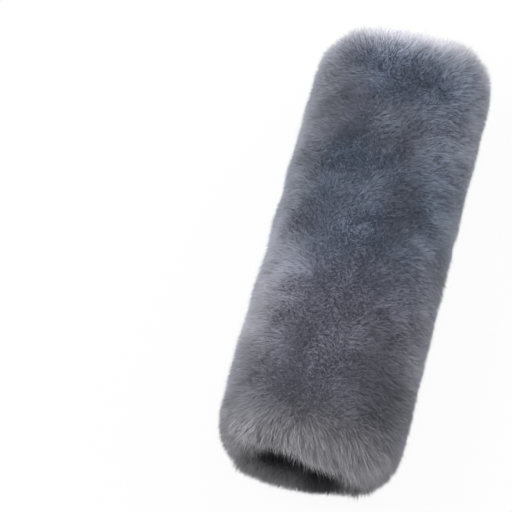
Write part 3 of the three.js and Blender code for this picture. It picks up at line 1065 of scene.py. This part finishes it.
class ShoulderPadWool(bpy.types.Operator):
    """Grows the wool of the pad as strands, in one mesh for each region"""

    bl_idname = "shoulder_pad.wool"
    bl_label = "Grow Wool"

    def execute(self, context):
        settings = context.scene.pad_wool
        undercoat = bpy.data.objects["wool_undercoat"]
        colours = context.scene.pad_colours
        open_finish = strand_finish("Wool strands", colours, OPEN_SHEEN)
        shaded_lining_finish = strand_finish("Wool strands shaded in the mouths", colours, SHADED_LINING_SHEEN)
        for number, (name, belongs, count, rings, gather) in enumerate(wool_regions()):

            def density(points, normals, belongs=belongs):
                own = belongs(points, normals) & ~on_inner_wall(points) & clear_of_parting(points)
                return own.astype(float)

            roots, normals = scattered_roots(undercoat, count, density, 100 + number)
            way, bend, length, shades = grow_strands(
                roots, normals, settings, gather, 200 + number
            )
            rng = np.random.default_rng(number)
            own = rng.random(count)
            lip = on_upper_lip(roots)
            width = settings.strand_width * rng.uniform(0.7, 1.25, count)
            width *= 1 + lip * (0.10 + 0.70 * (own > STOUT_FROM))
            length *= 1 + 0.16 * lip * (own > STOUT_FROM)
            length *= 1 + 0.24 * (1 - lip) * (own > STRAY_FROM)
            if name == "wool_back":
                way = unit(way + PRESSED_LEAN * combed(roots, normals))
                length *= PRESSED_LENGTH
                width *= PRESSED_WIDTH
            roots = roots - normals * ROOT_DEPTH
            mesh = strand_mesh(
                name, roots, normals, way, bend, length, shades, own, width, rings, 300 + number
            )
            piece = bpy.data.objects.new(name, mesh)
            context.scene.collection.objects.link(piece)
            # The mouth lining takes the shaded copy of the strands' finish, as painted shade
            mesh.materials.append(shaded_lining_finish if name == "mouth_lining" else open_finish)
            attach(piece, "root")
            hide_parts("wool_pile")
        return {"FINISHED"}


class ShoulderPadClosure(bpy.types.Operator):
    """Finishes the hide, the two tapes of the closure and the thread that sews them"""

    bl_idname = "shoulder_pad.closure"
    bl_label = "Finish Hide and Closure"

    def execute(self, context):
        colours = context.scene.pad_colours
        finishes = {
            "hide_sleeve": hide_finish(colours),
            "hook_tape": tape_finish("Hook tape", colours.tape, 0.0011, 0.0006),
            "loop_tape": tape_finish("Loop tape", colours.tape, 0.0007, 0.0004),
        }
        thread = thread_finish(colours)
        for name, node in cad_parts.items():
            if name == "wool_pile":
                continue
            node.data.materials.clear()
            node.data.materials.append(finishes.get(name, thread))
        return {"FINISHED"}


def floor_finish(colour):
    """A pale floor that the camera sees as white, with the pad's soft shadow kept."""
    material, shader, nodes = new_finish("Pale floor", 0.9)
    shader.inputs["Base Color"].default_value = rgba(colour)
    shader.inputs["Specular IOR Level"].default_value = 0.1
    glow = nodes.add("ShaderNodeEmission")
    glow.inputs["Strength"].default_value = 1.0
    rays = nodes.add("ShaderNodeLightPath")
    seen = nodes.math("MAXIMUM", rays.outputs["Is Camera Ray"], rays.outputs["Is Glossy Ray"])
    seen = nodes.math("MAXIMUM", seen, rays.outputs["Is Transmission Ray"])
    mixer = nodes.add("ShaderNodeMixShader")
    nodes.link(nodes.math("MULTIPLY", seen, FLOOR_GLOW), mixer.inputs[0])
    nodes.link(shader.outputs[0], mixer.inputs[1])
    nodes.link(glow.outputs[0], mixer.inputs[2])
    output = nodes.tree.nodes["Material Output"]
    nodes.link(mixer.outputs[0], output.inputs["Surface"])
    return material


def soft_lamp(name, place, power):
    """A square soft light that shines at the pad."""
    lamp = bpy.data.lights.new(name, "AREA")
    lamp.shape = "SQUARE"
    lamp.size = SOFTBOX_SIZE
    lamp.energy = power
    lit = bpy.data.objects.new(name, lamp)
    bpy.context.scene.collection.objects.link(lit)
    lit.location = place
    ray = Vector(SOFTBOX_AIM) - Vector(place)
    lit.rotation_euler = ray.to_track_quat("-Z", "Y").to_euler()


class ShoulderPadCamera(bpy.types.Operator):
    """Adds the camera at the picture's viewing angle"""

    bl_idname = "shoulder_pad.camera"
    bl_label = "Add Camera"

    def execute(self, context):
        stage = context.scene.pad_stage
        azimuth, elevation = stage.camera_azimuth, stage.camera_elevation
        back = Vector(
            (
                math.sin(azimuth) * math.cos(elevation),
                -math.cos(azimuth) * math.cos(elevation),
                math.sin(elevation),
            )
        )
        right = Vector((math.cos(azimuth), math.sin(azimuth), 0))
        up = back.cross(right)
        middle = (Vector(CAD_LOW) + Vector(CAD_HIGH)) / 2
        pixel = stage.camera_distance * SENSOR_WIDTH / stage.camera_lens / PICTURE_SIZE
        across = PAD_MIDDLE_IN_PICTURE[0] - PICTURE_SIZE / 2
        down = PAD_MIDDLE_IN_PICTURE[1] - PICTURE_SIZE / 2
        aim = middle - right * across * pixel + up * down * pixel
        data = bpy.data.cameras.new("Picture camera")
        data.lens = stage.camera_lens
        data.sensor_width = SENSOR_WIDTH
        data.clip_end = 20.0
        camera = bpy.data.objects.new("Picture camera", data)
        context.scene.collection.objects.link(camera)
        turn = Matrix((right, up, back)).transposed().to_4x4()
        camera.matrix_world = Matrix.Translation(aim + back * stage.camera_distance) @ turn
        context.scene.camera = camera
        return {"FINISHED"}


class ShoulderPadStage(bpy.types.Operator):
    """Adds the pale floor, the soft lights and the plain surroundings"""

    bl_idname = "shoulder_pad.stage"
    bl_label = "Add Stage"

    def execute(self, context):
        stage = context.scene.pad_stage
        bpy.ops.object.select_all(action="DESELECT")
        bpy.ops.mesh.primitive_plane_add(size=6, location=(0, 0, CAD_LOW[2] - 0.0005))
        floor = context.object
        floor.name = "pale_floor"
        floor.data.materials.append(floor_finish(stage.floor_colour))
        for name, place, power in SOFTBOXES:
            soft_lamp(name, place, power)
        world = bpy.data.worlds.new("Pale room")
        context.scene.world = world
        world.use_nodes = True
        room = world.node_tree.nodes["Background"]
        room.inputs["Color"].default_value = (1, 1, 1, 1)
        nodes = PatternNodes(world.node_tree)
        seen = nodes.add("ShaderNodeLightPath").outputs["Is Camera Ray"]
        light = nodes.math("ADD", nodes.math("MULTIPLY", seen, 1.0 - ROOM_LIGHT), ROOM_LIGHT)
        nodes.link(light, room.inputs["Strength"])
        context.scene.view_settings.view_transform = "Standard"
        return {"FINISHED"}


class ShoulderPadPanel(bpy.types.Panel):
    """Lists the steps and sizes of the pad"""

    bl_idname = "VIEW3D_PT_shoulder_pad"
    bl_label = "Shoulder Pad"
    bl_space_type = "VIEW_3D"
    bl_region_type = "UI"
    bl_category = "Shoulder Pad"

    def draw(self, context):
        layout = self.layout
        for step in STEPS:
            layout.operator(step.bl_idname)
        for group in ("pad_wool", "pad_colours", "pad_stage"):
            settings = getattr(context.scene, group)
            box = layout.box()
            for name in settings.bl_rna.properties.keys():
                if name not in ("rna_type", "name"):
                    box.prop(settings, name)


STEPS = (
    ShoulderPadCamera,
    ShoulderPadUndercoat,
    ShoulderPadWool,
    ShoulderPadClosure,
    ShoulderPadStage,
)
SETTINGS = {
    "pad_wool": PadWoolSettings,
    "pad_colours": PadColourSettings,
    "pad_stage": PadStageSettings,
}


def register():
    for name, kind in SETTINGS.items():
        bpy.utils.register_class(kind)
        setattr(bpy.types.Scene, name, bpy.props.PointerProperty(type=kind))
    for kind in (*STEPS, ShoulderPadPanel):
        bpy.utils.register_class(kind)


def unregister():
    for kind in (ShoulderPadPanel, *reversed(STEPS)):
        bpy.utils.unregister_class(kind)
    for name, kind in SETTINGS.items():
        delattr(bpy.types.Scene, name)
        bpy.utils.unregister_class(kind)


def main():
    register()
    bpy.ops.shoulder_pad.camera()
    bpy.ops.shoulder_pad.undercoat()
    bpy.ops.shoulder_pad.wool()
    bpy.ops.shoulder_pad.closure()
    bpy.ops.shoulder_pad.stage()


if __name__ == "__main__":
    main()
